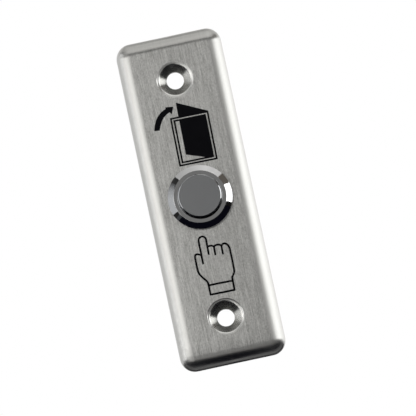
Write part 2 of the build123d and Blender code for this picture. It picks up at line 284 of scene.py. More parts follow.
# %% Hang the cards
tent = 0.5  # from the plate to the side and top cards, in metres
table = -0.34  # height of the low cards
side_cards = [
    # name, side, front and back edge, low and high edge, paint
    ("card_right", 1, -0.57, 0.02, -0.095, 0.235, "right_white"),
    ("card_right_behind", 1, 0.02, 0.60, -0.095, 0.235, "right_pale"),
    ("card_right_brown", 1.02, -0.50, 0.10, 0.22, 0.56, "right_brown"),
    ("card_left_front", -1, -0.36, -0.272, -0.095, 0.54, "left_cool"),
    ("card_left", -1, -0.272, -0.18, -0.15, 0.50, "left_white"),
    ("card_left_behind", -1, -0.18, 0.60, -0.15, 0.50, "left_grey"),
]
low_black_corners = [(-0.66, -0.65), (-0.45, -0.50), (0.45, -0.50), (0.94, -0.85), (0.94, 0.0), (-0.66, 0.0)]
low_left_corners = [(-1.2, -1.0), (-0.66, -0.65), (-0.66, 0.0), (-1.2, 0.0)]
level_cards = [
    # name, height, corners, paint, rays that see it
    ("card_top", tent, rectangle(-0.32, -0.74, 0.52, 0.05), "top_grey", ("diffuse", "glossy")),
    ("card_top_behind", tent, rectangle(-0.9, 0.05, 0.9, 0.8), "top_dim", ("glossy",)),
    ("card_low_black", table, low_black_corners, "low_black", ("glossy",)),
    ("card_low_left", table, low_left_corners, "low_dark", ("glossy",)),
    ("card_low_grey", table + 0.005, rectangle(-1.0, 0.0, 1.0, 0.15), "low_grey", ("glossy",)),
    ("card_low_behind", table + 0.005, rectangle(-1.0, 0.15, 1.0, 1.0), "low_black", ("glossy",)),
]
for name, side, front, back, low, high, paint in side_cards:
    corners = [(side * tent, y, z) for y, z in rectangle(front, low, back, high)]
    stage_piece(name, corners, [(0, 1, 2, 3)], paints[paint])
for name, height, outline, paint, rays in level_cards:
    corners = [(x, y, height) for x, y in outline]
    stage_piece(name, corners, [tuple(range(len(corners)))], paints[paint], rays)
print("cards:", len(side_cards) + len(level_cards))

# %% [markdown]
# The space around the lens is left unlit, and between it and the side cards stands pale cloth.
# One half sphere stands for both. It is dim in the middle, where the ring and the cap look, bright to the
# left and less so to the right, where the brushed face spreads its reflections, and dark at its rim.

# %% Close the tent with a dim shell
shell_radius, shell_rings, shell_steps = 1.25, 10, 32
points = [(0, -shell_radius, 0)]
for ring in range(1, shell_rings + 1):
    away = ring / shell_rings * pi / 2
    for step in range(shell_steps):
        around = 2 * pi * step / shell_steps
        points.append(tuple(shell_radius * x for x in (sin(away) * cos(around), -cos(away), sin(away) * sin(around))))
faces = [(0, 1 + step, 1 + (step + 1) % shell_steps) for step in range(shell_steps)]
for ring in range(shell_rings - 1):
    start = 1 + ring * shell_steps
    for step in range(shell_steps):
        after = (step + 1) % shell_steps
        faces.append((start + step, start + shell_steps + step, start + shell_steps + after, start + after))

sideways = [
    (-0.90, 1.0), (-0.70, 1.0), (-0.58, 0.84), (-0.42, 0.77), (-0.30, 0.53), (-0.22, 0.41), (-0.15, 0.22),
    (-0.10, 0.074), (0.10, 0.074), (0.20, 0.144), (0.50, 0.118), (0.66, 0.23), (0.78, 0.38), (0.9, 0.38),
]
upwards = [
    (-0.66, 0.12), (-0.60, 0.30), (-0.47, 0.46), (-0.11, 0.35), (0.0, 0.40), (0.08, 0.75), (0.15, 1.0),
    (0.21, 1.0), (0.28, 0.68), (0.34, 0.34), (0.42, 0.14), (0.55, 0.12), (0.62, 0.80), (0.9, 0.8),
]
forwards = [(-1.0, 1.0), (-0.68, 1.0), (-0.60, 0.019), (0.0, 0.019)]
shell_fades = [  # their places are parts of the shell's radius
    (axis, [(place * shell_radius, level) for place, level in fade])
    for axis, fade in (("X", sideways), ("Z", upwards), ("Y", forwards))
]
stage_piece("dim_shell", points, faces, glow("unlit_room", (1.0, 0.99, 0.97), 2.5, shell_fades), ("glossy",))
print("shell faces:", len(faces))

# %% [markdown]
# ## Floor
# The plate hangs on a wall, so the floor is a good way below it and stays out of the main picture.
# In other views it is the pale ground. It lets rays through from underneath, because a camera that
# looks up at the plate may stand below it.

# %% Lay the floor
floor_height, floor_reach = -0.35, 3.0
pale = bpy.data.materials.new("pale_floor")
pale.use_nodes = True
paint = pale.node_tree
paint_surface = fill(paint, paint.nodes["Principled BSDF"], Base_Color=(0.86, 0.86, 0.86, 1), Roughness=0.7)
underside = add(paint, "NewGeometry").outputs["Backfacing"]
mix_shaders(paint, underside, paint_surface, add(paint, "BsdfTransparent"), paint.nodes["Material Output"])
floor_corners = [(x, y, floor_height) for x, y in rectangle(-floor_reach, -floor_reach, floor_reach, floor_reach)]
stage_piece("floor", floor_corners, [(0, 1, 2, 3)], pale, ("camera", "diffuse", "transmission", "shadow"))
print("floor at", floor_height, "m")

# %% [markdown]
# ## Lamps
# Plastics and rubber have no use for mirror images. They need soft light from one side and a weaker one
# from behind, as from two large soft boxes.

# %% Set two soft boxes
def soft_box(name, place, size, power):
    """A square area lamp that points at the part."""
    lamp = bpy.data.lights.new(name, "AREA")
    lamp.size, lamp.energy = size, power
    made = bpy.data.objects.new(name, lamp)
    made.location = place
    made.rotation_euler = (-Vector(place)).to_track_quat("-Z", "Y").to_euler()
    made.visible_glossy = False
    bpy.context.scene.collection.objects.link(made)
    return made


key = soft_box("soft_box_front", (0.7, -0.9, 0.9), 0.5, 9)
back = soft_box("soft_box_behind", (-0.8, 0.9, 0.7), 0.5, 7)
print("lamps:", key.name, back.name)

# %% [markdown]
# ## Shader building blocks
# Every finish here is made from noise that reads Object coordinates, so the pattern keeps its real size
# in millimetres and stays on the piece. An effect that several finishes use is a node group.

# %% Helper for shader groups
def shader_group(name, inputs, outputs):
    """Start a shader group with named sockets, and return it with its input and output nodes."""
    tree = bpy.data.node_groups.new(name, "ShaderNodeTree")
    for label, kind, value in inputs:
        socket = tree.interface.new_socket(label, in_out="INPUT", socket_type="NodeSocket" + kind)
        if value is not None:
            socket.default_value = value
    for label, kind in outputs:
        tree.interface.new_socket(label, in_out="OUTPUT", socket_type="NodeSocket" + kind)
    return tree, tree.nodes.new("NodeGroupInput"), tree.nodes.new("NodeGroupOutput")

# %% [markdown]
# ### Brushed lines
# Brushing is made by an abrasive belt: thousands of scratches of different width and length, all one way.
# One noise stretched a long way looks like wood. Four of them look like steel: hair lines, broader bands,
# short nicks, and soft clouds where the belt pressed unevenly.

# %% Group: brushed lines
group, entry, leave = shader_group(
    "brushed_lines",
    [("Position", "Vector", None), ("Lines per Metre", "Float", 4000.0), ("Stroke per Metre", "Float", 220.0),
     ("Clouds", "Float", 0.25)],
    [("Tone", "Float"), ("Height", "Float")],
)
lines_group = group
places = add(group, "SeparateXYZ", Vector=entry.outputs["Position"]).outputs
noise_table = [
    # lines and strokes as shares of the group's inputs, offset, detail: hair lines, bands, nicks, clouds
    (1.0, 1.0, 0.0, 3.0), (0.34, 0.4, 7.3, 2.0), (0.8, 9.0, 5.2, 1.0), (0.05, 0.4, 3.1, 1.0),
]
noises = []
for line_share, stroke_share, offset, detail in noise_table:
    across = times(group, entry.outputs["Lines per Metre"], line_share)
    along = times(group, entry.outputs["Stroke per Metre"], stroke_share)
    x, y, z = (times(group, places[axis], count) for axis, count in (("X", across), ("Y", along), ("Z", along)))
    stretched = add(group, "CombineXYZ", X=x, Y=y, Z=total(group, z, offset))
    noises.append(add(
        group, "TexNoise", Vector=stretched.outputs[0], Scale=1.0, Detail=detail, Roughness=0.6,
    ).outputs["Fac"])
weights = (0.45, 0.2, 0.35)  # of hair lines, bands and nicks
fine_mix = total(group, *(times(group, noise, weight) for noise, weight in zip(noises, weights)))
cloud_step = times(group, math_node(group, "SUBTRACT", noises[3], 0.5), entry.outputs["Clouds"])
fill(group, leave, Tone=total(group, fine_mix, cloud_step), Height=fine_mix)

# %% [markdown]
# ### Worn edges and painted edge highlights
# Handling and plating thin an edge first, so a narrow bright or dull line follows it. The finishes paint the line
# lighter, so it is partly wear and partly a painted highlight of an edge that catches the light. A Bevel node bends
# the normal near an edge, and the difference from the true normal marks the place. Noise breaks the line.

# %% Group: worn edges and painted edge highlights
group, entry, leave = shader_group(
    "worn_and_highlit_edges",
    [("Position", "Vector", None), ("Spots per Metre", "Float", 900.0), ("Reach", "Float", 6.0)],
    [("Mask", "Float")],
)
wear_and_highlight_group = group
bent = add(group, "Bevel", {"samples": 4}, Radius=0.0003).outputs[0]
alike = vector_node(group, "DOT_PRODUCT", bent, add(group, "NewGeometry").outputs["Normal"])
strength = times(group, math_node(group, "SUBTRACT", 1.0, alike), entry.outputs["Reach"])
spots = add(
    group, "TexNoise", Vector=entry.outputs["Position"], Scale=entry.outputs["Spots per Metre"],
    Detail=2.0, Roughness=0.6,
)
fill(group, leave, Mask=math_node(group, "MINIMUM", times(group, strength, spots.outputs["Fac"]), 1.0))

# %% [markdown]
# ### Moulded grain
# A steel mould is spark eroded, and the plastic copies its fine pits. Rubber has the same pits, rounder.
# Two sizes of noise are enough at this scale.

# %% Group: moulded grain
group, entry, leave = shader_group(
    "moulded_grain",
    [("Position", "Vector", None), ("Grains per Metre", "Float", 6000.0)],
    [("Tone", "Float"), ("Height", "Float")],
)
grain_group = group
position, grains = entry.outputs["Position"], entry.outputs["Grains per Metre"]
pits = add(group, "TexNoise", Vector=position, Scale=grains, Detail=2.0, Roughness=0.7).outputs["Fac"]
coarse = times(group, grains, 0.06)
flow = add(group, "TexNoise", Vector=position, Scale=coarse, Detail=1.0, Roughness=0.5).outputs["Fac"]
fill(group, leave, Tone=total(group, times(group, pits, 0.6), times(group, flow, 0.4)), Height=pits)

# %% [markdown]
# ### Smudges
# A polished or plated face is never equally clean. Large soft patches make it a little duller in places.

# %% Group: smudges
group, entry, leave = shader_group(
    "smudges",
    [("Position", "Vector", None), ("Patches per Metre", "Float", 160.0)],
    [("Mask", "Float")],
)
smudge_group = group
patches = add(
    group, "TexNoise", Vector=entry.outputs["Position"], Scale=entry.outputs["Patches per Metre"],
    Detail=4.0, Roughness=0.65, Distortion=0.6,
)
soft_patches = add(
    group, "MapRange", {"interpolation_type": "SMOOTHSTEP"}, Value=patches.outputs["Fac"], From_Min=0.45, From_Max=0.75,
)
fill(group, leave, Mask=soft_patches.outputs["Result"])
print("groups:", [g.name for g in bpy.data.node_groups])

# %% [markdown]
# ## Finishes
# One material for each finish in the record. Each starts the same way: a Principled surface, Object
# coordinates and the groups above with their own values, so that is a helper too.

# %% Helpers for materials
def finish(name, metallic, roughness, **values):
    """Start a material and return it with its tree, its surface and its Object coordinates."""
    material = bpy.data.materials.new(name)
    material.use_nodes = True
    tree = material.node_tree
    surface = fill(tree, tree.nodes["Principled BSDF"], Metallic=metallic, Roughness=roughness, **values)
    return material, tree, surface, add(tree, "TexCoord").outputs["Object"]


def use(tree, group, position, **values):
    """Place a group in a material's tree, give it its values and return its outputs."""
    return add(tree, "Group", {"node_tree": group}, Position=position, **values).outputs


def between(tree, mask, low, high, start=0.0, end=1.0):
    """A number between two, chosen by a mask that runs from start to end."""
    made = add(tree, "MapRange", Value=mask, From_Min=start, From_Max=end, To_Min=low, To_Max=high)
    return made.outputs["Result"]


def shade_between(tree, mask, dark, light, start=0.0, end=1.0):
    """A colour between two, chosen by a mask that runs from start to end."""
    if (start, end) != (0.0, 1.0):
        mask = between(tree, mask, 0, 1, start, end)
    made = add(tree, "Mix", {"data_type": "RGBA"}, Factor=mask)
    for socket, colour in zip(made.inputs[6:8], (dark, light)):
        feed(tree, socket, (*colour, 1) if isinstance(colour, tuple) else colour)
    return made.outputs[2]


def raised(tree, height, distance, strength=1.0):
    """The normal of a surface that a height lifts."""
    return add(tree, "Bump", Strength=strength, Distance=distance, Height=height).outputs[0]

# %% [markdown]
# ### Brushed stainless steel
# The belt ran along the plate, so light spreads sideways, across the lines. An anisotropic reflection does
# that: it is rough along its tangent and smooth the other way. A tangent that runs round the Z axis
# points across the brushing on the face and on the rolled rims alike.
# The belt runs on the flat and hardly touches the rolled rims, and it doesn't reach into the dimples of the
# screws, so those keep the smooth, even shine of the press tool. Inside the dimples the colour is painted darker,
# as painted shade in the recess, and a ring round each lip is painted lighter, as a painted highlight.
# A pressed sheet is never quite flat: the normal leans out a little to both sides, more so further down,
# and at the lower end, and the upper half is turned to the left by about a degree.

# %% Material: brushed stainless
screw_height = 33 * MM  # of the screw axes, above and below the middle
brushed, tree, surface, position = finish("brushed_stainless", 1.0, 0.3, Anisotropic=0.75)
lines = use(tree, lines_group, position, Lines_per_Metre=5200.0, Stroke_per_Metre=230.0, Clouds=0.1)
edge = use(tree, wear_and_highlight_group, position, Spots_per_Metre=900.0, Reach=2.5)
places = add(tree, "SeparateXYZ", Vector=position).outputs
aside, away = (math_node(tree, "ABSOLUTE", places[axis]) for axis in ("X", "Z"))
flat_x = between(tree, aside, 1.0, 0.15, 10.2 * MM, 11.4 * MM)
flat_z = between(tree, away, 1.0, 0.15, 41.6 * MM, 42.6 * MM)
on_flat = math_node(tree, "MINIMUM", flat_x, flat_z)
tone = times(tree, math_node(tree, "SUBTRACT", lines["Tone"], 0.5), on_flat)
steel = shade_between(tree, tone, (0.36, 0.36, 0.346), (0.885, 0.885, 0.865), -0.2, 0.2)
# wear and painted highlight: the edges get a lighter colour
steel_with_worn_lit_edges = shade_between(tree, edge["Mask"], steel, (0.74, 0.74, 0.72))
off_axis = add(tree, "CombineXYZ", X=places["X"], Y=math_node(tree, "SUBTRACT", away, screw_height))
from_axis = vector_node(tree, "LENGTH", off_axis.outputs[0])
sunk = between(tree, from_axis, 1.0, 0.0, 4.2 * MM, 4.9 * MM)
# painted highlight: a ring round each dimple's lip gets a lighter colour
lip_highlight_start = between(tree, from_axis, 0.0, 1.0, 4.1 * MM, 4.4 * MM)
lip_highlight_end = between(tree, from_axis, 1.0, 0.0, 4.75 * MM, 5.0 * MM)
lip_highlight_mask = math_node(tree, "MINIMUM", lip_highlight_start, lip_highlight_end)
# painted shade: the inside of each dimple gets a darker, even colour
steel_with_dimple_shade = shade_between(tree, sunk, steel_with_worn_lit_edges, (0.53, 0.53, 0.51))
bow = between(tree, places["Z"], 0.4, 2.7, 25 * MM, -15 * MM)
twist = between(tree, places["Z"], -0.018, 0.0, 40 * MM, -5 * MM)
droop = between(tree, places["Z"], 0.0, -0.05, -39 * MM, -41.8 * MM)
crown = add(tree, "CombineXYZ", X=total(tree, times(tree, places["X"], bow), twist), Z=droop)
crowned = vector_node(tree, "ADD", raised(tree, lines["Height"], 0.000002, on_flat), crown.outputs[0])
fill(
    tree, surface,
    Base_Color=shade_between(tree, lip_highlight_mask, steel_with_dimple_shade, (0.86, 0.86, 0.84)),
    Roughness=between(tree, sunk, between(tree, tone, 0.28, 0.35, -0.2, 0.2), 0.26),
    Anisotropic=between(tree, sunk, 0.75, 0.0),
    Normal=vector_node(tree, "NORMALIZE", crowned),
    Tangent=add(tree, "Tangent", {"direction_type": "RADIAL", "axis": "Z"}).outputs[0],
)
print(brushed.name, "nodes:", len(tree.nodes))

# %% [markdown]
# ### Polished and satin stainless steel
# The bezel is turned and mirror polished: very smooth, with a few soft smudges. The cap is blasted
# and lightly brushed, so it shows the dark of the lens side as an even grey. Its chamfer is cut afterwards
# and stays bright.

# %% Materials: polished and satin
polished, tree, surface, position = finish("polished_stainless", 1.0, 0.05)
smudge = use(tree, smudge_group, position, Patches_per_Metre=260.0)["Mask"]
edge = use(tree, wear_and_highlight_group, position, Spots_per_Metre=1500.0, Reach=2.0)["Mask"]
chrome = shade_between(tree, smudge, (0.785, 0.79, 0.80), (0.75, 0.755, 0.765))
# the edge line is lighter: partly wear, partly a painted highlight
fill(
    tree, surface, Base_Color=shade_between(tree, edge, chrome, (0.86, 0.86, 0.86)),
    Roughness=between(tree, smudge, 0.04, 0.09),
)

satin, tree, surface, position = finish("satin_stainless", 1.0, 0.25)
lines = use(tree, lines_group, position, Lines_per_Metre=9000.0, Stroke_per_Metre=700.0, Clouds=0.15)
edge = use(tree, wear_and_highlight_group, position, Spots_per_Metre=1500.0, Reach=2.5)["Mask"]
grey = shade_between(tree, lines["Tone"], (0.575, 0.59, 0.61), (0.625, 0.64, 0.66), 0.3, 0.7)
satin_rough = between(tree, lines["Tone"], 0.23, 0.26, 0.3, 0.7)
cap_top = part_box("button_cap")[0].y
depth = add(tree, "SeparateXYZ", Vector=position).outputs["Y"]
# the edge line is lighter: partly wear, partly a painted highlight
fill(
    tree, surface, Base_Color=shade_between(tree, edge, grey, (0.62, 0.62, 0.63)),
    Roughness=between(tree, depth, satin_rough, 0.09, cap_top + 0.02 * MM, cap_top + 0.08 * MM),
    Normal=raised(tree, lines["Height"], 0.0000003),
)
print("polished and satin nodes:", len(polished.node_tree.nodes), len(tree.nodes))

# %% [markdown]
# ### Metals of the hidden side
# Nickel on the nut, zinc on the screws and washers, rolled brass strip, silver contacts and drawn spring
# wire. They share one recipe, with different colours, lines and edge lines, so a loop over a table makes them.
# The edge line is painted lighter: partly wear, partly a painted highlight.

# %% Materials: other metals
metal_table = {
    # name: (dark, light, edge colour of wear and painted highlight, roughness low and high, lines per metre, stroke per
    # metre, edge line reach)
    "nut_plating": ((0.66, 0.64, 0.60), (0.74, 0.72, 0.68), (0.80, 0.72, 0.52), 0.16, 0.28, 3000.0, 1800.0, 3.0),
    "brass_strip": ((0.66, 0.50, 0.24), (0.80, 0.64, 0.34), (0.86, 0.72, 0.42), 0.28, 0.42, 4200.0, 380.0, 3.0),
    "silver_contact": ((0.80, 0.80, 0.78), (0.88, 0.88, 0.86), (0.92, 0.92, 0.90), 0.22, 0.34, 5000.0, 4000.0, 2.0),
    "spring_steel": ((0.48, 0.48, 0.49), (0.60, 0.60, 0.61), (0.68, 0.68, 0.68), 0.25, 0.38, 5000.0, 900.0, 2.0),
    "zinc_plated_steel": ((0.63, 0.65, 0.69), (0.75, 0.755, 0.76), (0.80, 0.80, 0.78), 0.2, 0.34, 2200.0, 1600.0, 3.5),
}
metals = {}
for name, (dark, light, edge_wear_and_highlight, smooth, rough, line_count, stroke_count, reach) in metal_table.items():
    metals[name], tree, surface, position = finish(name, 1.0, smooth)
    lines = use(tree, lines_group, position, Lines_per_Metre=line_count, Stroke_per_Metre=stroke_count, Clouds=0.4)
    edge = use(tree, wear_and_highlight_group, position, Spots_per_Metre=1200.0, Reach=reach)["Mask"]
    smudge = use(tree, smudge_group, position, Patches_per_Metre=300.0)["Mask"]
    base = shade_between(tree, lines["Tone"], dark, light, 0.3, 0.7)
    # the edge line is lighter: partly wear, partly a painted highlight
    fill(
        tree, surface, Base_Color=shade_between(tree, edge, base, edge_wear_and_highlight),
        Roughness=between(tree, smudge, smooth, rough), Normal=raised(tree, lines["Height"], 0.000003),
    )
print("metals:", sorted(metals))

# %% [markdown]
# ### Plastics, rubber and ink
# The terminal base is black nylon from a sparked mould, the plunger natural acetal, the gasket and the
# ring black rubber. The signs are a thin black enamel, printed and baked: nearly black, slightly glossy.

# %% Materials: plastics, rubber and ink
plastic_table = {
    # name: (dark, light, roughness low and high, grains per metre, bump height, coat)
    "black_rubber": ((0.022, 0.022, 0.022), (0.040, 0.040, 0.040), 0.62, 0.8, 7000.0, 0.000006, 0.0),
    "black_nylon": ((0.028, 0.028, 0.030), (0.044, 0.044, 0.046), 0.42, 0.58, 6000.0, 0.000008, 0.0),
    "natural_acetal": ((0.78, 0.76, 0.69), (0.85, 0.83, 0.77), 0.3, 0.42, 3000.0, 0.000003, 0.15),
    "sign_enamel": ((0.0012, 0.0012, 0.002), (0.0024, 0.0024, 0.0036), 0.5, 0.6, 5000.0, 0.000001, 0.0),
}
plastics = {}
for name, (dark, light, smooth, rough, grains, bump_height, coat) in plastic_table.items():
    plastics[name], tree, surface, position = finish(name, 0.0, smooth, Coat_Weight=coat)
    grain = use(tree, grain_group, position, Grains_per_Metre=grains)
    fill(
        tree, surface, Base_Color=shade_between(tree, grain["Tone"], dark, light, 0.35, 0.65),
        Roughness=between(tree, grain["Tone"], smooth, rough, 0.35, 0.65),
        Normal=raised(tree, grain["Height"], bump_height),
    )
plastics["sign_enamel"].node_tree.nodes["Principled BSDF"].inputs["Specular IOR Level"].default_value = 0.06
print("plastics:", sorted(plastics))

# %% [markdown]
# ## True normals
# Blender shades a curved surface by averaging the normals of its facets. The plate's rolled edge and its
# dimples run into the face without a seam, and there such an average shows as rings. Their shapes have
# formulas: a quarter ellipse round the plate, and round each screw a cone with a rounded shoulder. So the
# true normal of each point is worked out, and given to the corners of the mesh.

# %% True normals of the pressed plate
plate_low, plate_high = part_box("faceplate")
roll_run, roll_rise, plate_corner = 3.9 * MM, 3.1 * MM, 4.05 * MM
shoulder_end, shoulder_radius = 4.8 * MM, 0.85 * MM
flatter_sides = 0.8  # the side walls of a drawn dimple lean back a little more than the cone of the screw head


def pressed_normal(point):
    """The normal of the pressed plate's front side at a point of it."""
    sides = Vector((1 if point.x > 0 else -1, 1, 1 if point.z > 0 else -1))
    x, z = abs(point.x), abs(point.z)
    outwards = Vector((max(x - plate_high.x + plate_corner, 0), 0, max(z - plate_high.z + plate_corner, 0)))
    from_screw = Vector((x, 0, z - screw_height))
    if from_screw.length < shoulder_end:
        tilt = min((shoulder_end - from_screw.length) / shoulder_radius, sin(pi / 4))
        inwards = -tilt * from_screw.normalized()
        normal = Vector((inwards.x * flatter_sides, -(1 - tilt * tilt) ** 0.5, inwards.z))
    else:
        run = max(outwards.length - plate_corner + roll_run, 0)
        rise = -point.y + plate_low.y + roll_rise
        normal = outwards.normalized() * run / roll_run ** 2 - Vector((0, rise / roll_rise ** 2, 0))
    return (normal * sides).normalized()


def give_normals(mesh, formula):
    """Use the formula's normals where they agree with a face, and keep the others."""
    normals, changed = [tuple(corner.vector) for corner in mesh.corner_normals], 0
    for face in mesh.polygons:
        for loop in face.loop_indices:
            normal = formula(mesh.vertices[mesh.loops[loop].vertex_index].co)
            if normal.dot(face.normal) > 0.9:
                normals[loop] = tuple(normal)
                changed += 1
    mesh.normals_split_custom_set(normals)
    print("true normals at", changed, "of", len(normals), "corners")

# %% [markdown]
# ## Smooth solids
# A CAD export is a bag of loose triangles, so a turned bezel shows its facets in a mirror finish.
# The CAD nodes themselves must stay untouched. A copy is made instead: its doubles are merged, flat regions
# become single faces, curved ones are shaded smooth, and edges sharper than a set angle stay crisp. Then the
# copy stands for its node, which is hidden. Every copy rides on its body but one: the return spring, which
# stands on the housing's web and carries the cap's roof, stays where the frame puts it, on no body.

# %% A helper that finishes a solid
SHARP = radians(24)


def finished(node, material, body, formula=None):
    """A smooth copy of a CAD node that replaces it, with its material."""
    mesh = frame["nodes"][node].data.copy()
    edit = bmesh.new()
    edit.from_mesh(mesh)
    bmesh.ops.remove_doubles(edit, verts=edit.verts, dist=0.000001)
    bmesh.ops.dissolve_limit(edit, angle_limit=radians(0.3), verts=edit.verts, edges=edit.edges, delimit={"NORMAL"})
    edit.to_mesh(mesh)
    edit.free()
    mesh.materials.clear()
    mesh.materials.append(material)
    mesh.shade_smooth()
    mesh.set_sharp_from_angle(angle=SHARP)
    rough_cut = bpy.data.objects.new(node + "_rough_cut", mesh)
    bpy.context.scene.collection.objects.link(rough_cut)
    flat = rough_cut.modifiers.new("flat_first", "WEIGHTED_NORMAL")
    flat.mode, flat.weight, flat.keep_sharp = "FACE_AREA", 75, True
    ready = rough_cut.evaluated_get(bpy.context.evaluated_depsgraph_get())
    smooth_mesh = bpy.data.meshes.new_from_object(ready)
    smooth_mesh.name = node + "_finished"
    if formula:
        give_normals(smooth_mesh, formula)
    rough_cut.modifiers.clear()
    bpy.data.objects.remove(rough_cut)
    piece = bpy.data.objects.new(node + "_finished", smooth_mesh)
    bpy.context.scene.collection.objects.link(piece)
    if node == "return_spring":
        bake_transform(piece)
    else:
        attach(piece, body)
    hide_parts(node)
    return piece

# %% [markdown]
# Each finish is listed with the solids that wear it, and the record says which body a solid belongs to.
# Only the plate has a formula for its normals.

# %% Finish every solid
slot_of = {
    "brushed_stainless": ["faceplate"],
    "polished_stainless": ["switch_housing"],
    "satin_stainless": ["button_cap"],
    "nut_plating": ["panel_nut"],
    "black_rubber": ["panel_gasket", "cap_o_ring"],
    "black_nylon": ["terminal_base"],
    "natural_acetal": ["plunger"],
    "brass_strip": ["bridge_contact", "terminal_left", "terminal_right"],
    "silver_contact": ["fixed_tip_left", "fixed_tip_right", "bridge_tip_left", "bridge_tip_right"],
    "spring_steel": ["return_spring", "contact_spring", "retaining_clip"],
    "zinc_plated_steel": ["terminal_screw_left", "terminal_screw_right", "clamp_washer_left", "clamp_washer_right"],
}
material_of = {
    "brushed_stainless": brushed, "polished_stainless": polished, "satin_stainless": satin, **metals, **plastics,
}
body_of = {node: body for body, nodes in frame["record"]["behaviour"]["bodies"].items() for node in nodes}
formula_of = {"faceplate": pressed_normal}
solids = {}
for slot, nodes in slot_of.items():
    for node in nodes:
        solids[node] = finished(node, material_of[slot], body_of[node], formula_of.get(node))
print("finished", len(solids), "solids, left over:", sorted(set(frame["nodes"]) - set(solids)))

# %% [markdown]
# ## Signs on the plate
# Two signs are printed on the face: a door that swings open, and a hand that points at the button.
# Both are drawn flat in millimetres, with X to the right and Y up the plate. A line is a path that
# a pen follows, and a patch is a closed outline that gets filled. Each has its Geometry Nodes tree, which
# gives the drawing its ink thickness and stands it on the face. The film is 0.02 mm thick, as enamel is.

# %% Geometry Nodes: ink film
def geometry_tree(name, sockets):
    """Start a geometry tree with named inputs, and return it with its two end nodes."""
    tree = bpy.data.node_groups.new(name, "GeometryNodeTree")
    tree.interface.new_socket("Geometry", in_out="INPUT", socket_type="NodeSocketGeometry")
    for label, kind, value in sockets:
        socket = tree.interface.new_socket(label, in_out="INPUT", socket_type="NodeSocket" + kind)
        if value is not None:
            socket.default_value = value
    tree.interface.new_socket("Geometry", in_out="OUTPUT", socket_type="NodeSocketGeometry")
    return tree, tree.nodes.new("NodeGroupInput"), tree.nodes.new("NodeGroupOutput")


def stand_up(tree, drawing, entry):
    """Turn a flat drawing by its lean, and stand it on the face at its place."""
    turn = add(tree, "CombineXYZ", Z=entry.outputs["Lean"]).outputs[0]
    turned = add(tree, "GeometryNodeTransform", Geometry=drawing, Rotation=turn).outputs[0]
    return add(
        tree, "GeometryNodeTransform", Geometry=turned, Rotation=(pi / 2, 0, 0), Translation=entry.outputs["Place"],
    ).outputs[0]


def close_tree(tree, result, entry, leave):
    """End a tree with Realize Instances and Set Material."""
    real = add(tree, "GeometryNodeRealizeInstances", Geometry=result).outputs[0]
    painted = add(tree, "GeometryNodeSetMaterial", Geometry=real, Material=entry.outputs["Material"])
    fill(tree, leave, Geometry=painted.outputs[0])


place_sockets = [("Lean", "Float", 0.0), ("Place", "Vector", None), ("Material", "Material", None)]
pen_tree, entry, leave = geometry_tree(
    "pen_line", [("Width", "Float", 0.3 * MM), ("Film", "Float", 0.02 * MM), *place_sockets],
)
upright = add(pen_tree, "GeometryNodeSetCurveNormal", {"mode": "Z_UP"}, Curve=entry.outputs["Geometry"]).outputs[0]
nib = add(
    pen_tree, "GeometryNodeCurvePrimitiveQuadrilateral", Width=entry.outputs["Width"], Height=entry.outputs["Film"],
).outputs[0]
drawn = add(pen_tree, "GeometryNodeCurveToMesh", Curve=upright, Profile_Curve=nib, Fill_Caps=True).outputs[0]
close_tree(pen_tree, stand_up(pen_tree, drawn, entry), entry, leave)

patch_tree, entry, leave = geometry_tree("ink_patch", [("Film", "Float", 0.02 * MM), *place_sockets])
flat = add(patch_tree, "GeometryNodeFillCurve", {"mode": "NGONS"}, Curve=entry.outputs["Geometry"]).outputs[0]
lifted = add(
    patch_tree, "GeometryNodeExtrudeMesh", Mesh=flat, Offset=(0, 0, 1), Offset_Scale=entry.outputs["Film"],
    Individual=False,
).outputs["Mesh"]
under = add(patch_tree, "GeometryNodeFlipFaces", Mesh=flat).outputs[0]
both = add(patch_tree, "GeometryNodeJoinGeometry")
for side in (lifted, under):
    patch_tree.links.new(side, both.inputs[0])
weld = add(patch_tree, "GeometryNodeMergeByDistance", Geometry=both.outputs[0], Distance=0.000001).outputs[0]
close_tree(patch_tree, stand_up(patch_tree, weld, entry), entry, leave)
print("geometry trees:", pen_tree.name, patch_tree.name)

# %% [markdown]
# A finished piece has to be a plain mesh. The helper below puts a drawing through a tree, sets the
# modifier's inputs by their socket identifiers, and keeps only the evaluated result.

# %% Helpers for drawings
def drawing(name, strokes, closed=False):
    """Paths through points in millimetres, as one curve object."""
    curve = bpy.data.curves.new(name, "CURVE")
    curve.dimensions = "3D"
    for stroke in strokes:
        path = curve.splines.new("POLY")
        path.points.add(len(stroke) - 1)
        for point, (x, y) in zip(path.points, stroke):
            point.co = (x * MM, y * MM, 0, 1)
        path.use_cyclic_u = closed
    made = bpy.data.objects.new(name, curve)
    bpy.context.scene.collection.objects.link(made)
    return made


def grown(source, name, tree, values):
    """Put an object through a geometry tree and return the result as a plain mesh object."""
    modifier = source.modifiers.new(tree.name, "NODES")
    modifier.node_group = tree
    sockets = {item.name: item.identifier for item in tree.interface.items_tree if item.in_out == "INPUT"}
    for label, value in values.items():
        modifier[sockets[label]] = value
    ready = source.evaluated_get(bpy.context.evaluated_depsgraph_get())
    mesh = bpy.data.meshes.new_from_object(ready)
    mesh.name = name
    source.modifiers.clear()
    bpy.data.objects.remove(source)
    piece = bpy.data.objects.new(name, mesh)
    bpy.context.scene.collection.objects.link(piece)
    print(name, len(mesh.polygons), "faces")
    return piece


def bend(centre, radius, start, end, steps=8):
    """Points along an arc, angles in degrees."""
    turns = [radians(start + (end - start) * i / steps) for i in range(steps + 1)]
    return [(centre[0] + radius * cos(t), centre[1] + radius * sin(t)) for t in turns]

# %% [markdown]
# ### The door sign
# A frame of two thin lines, the black leaf swung open behind it, and an arrow that follows its swing.
# The light gap between the frame's lines runs across the leaf, so the leaf is two patches.
# Coordinates are measured from the middle of the frame.

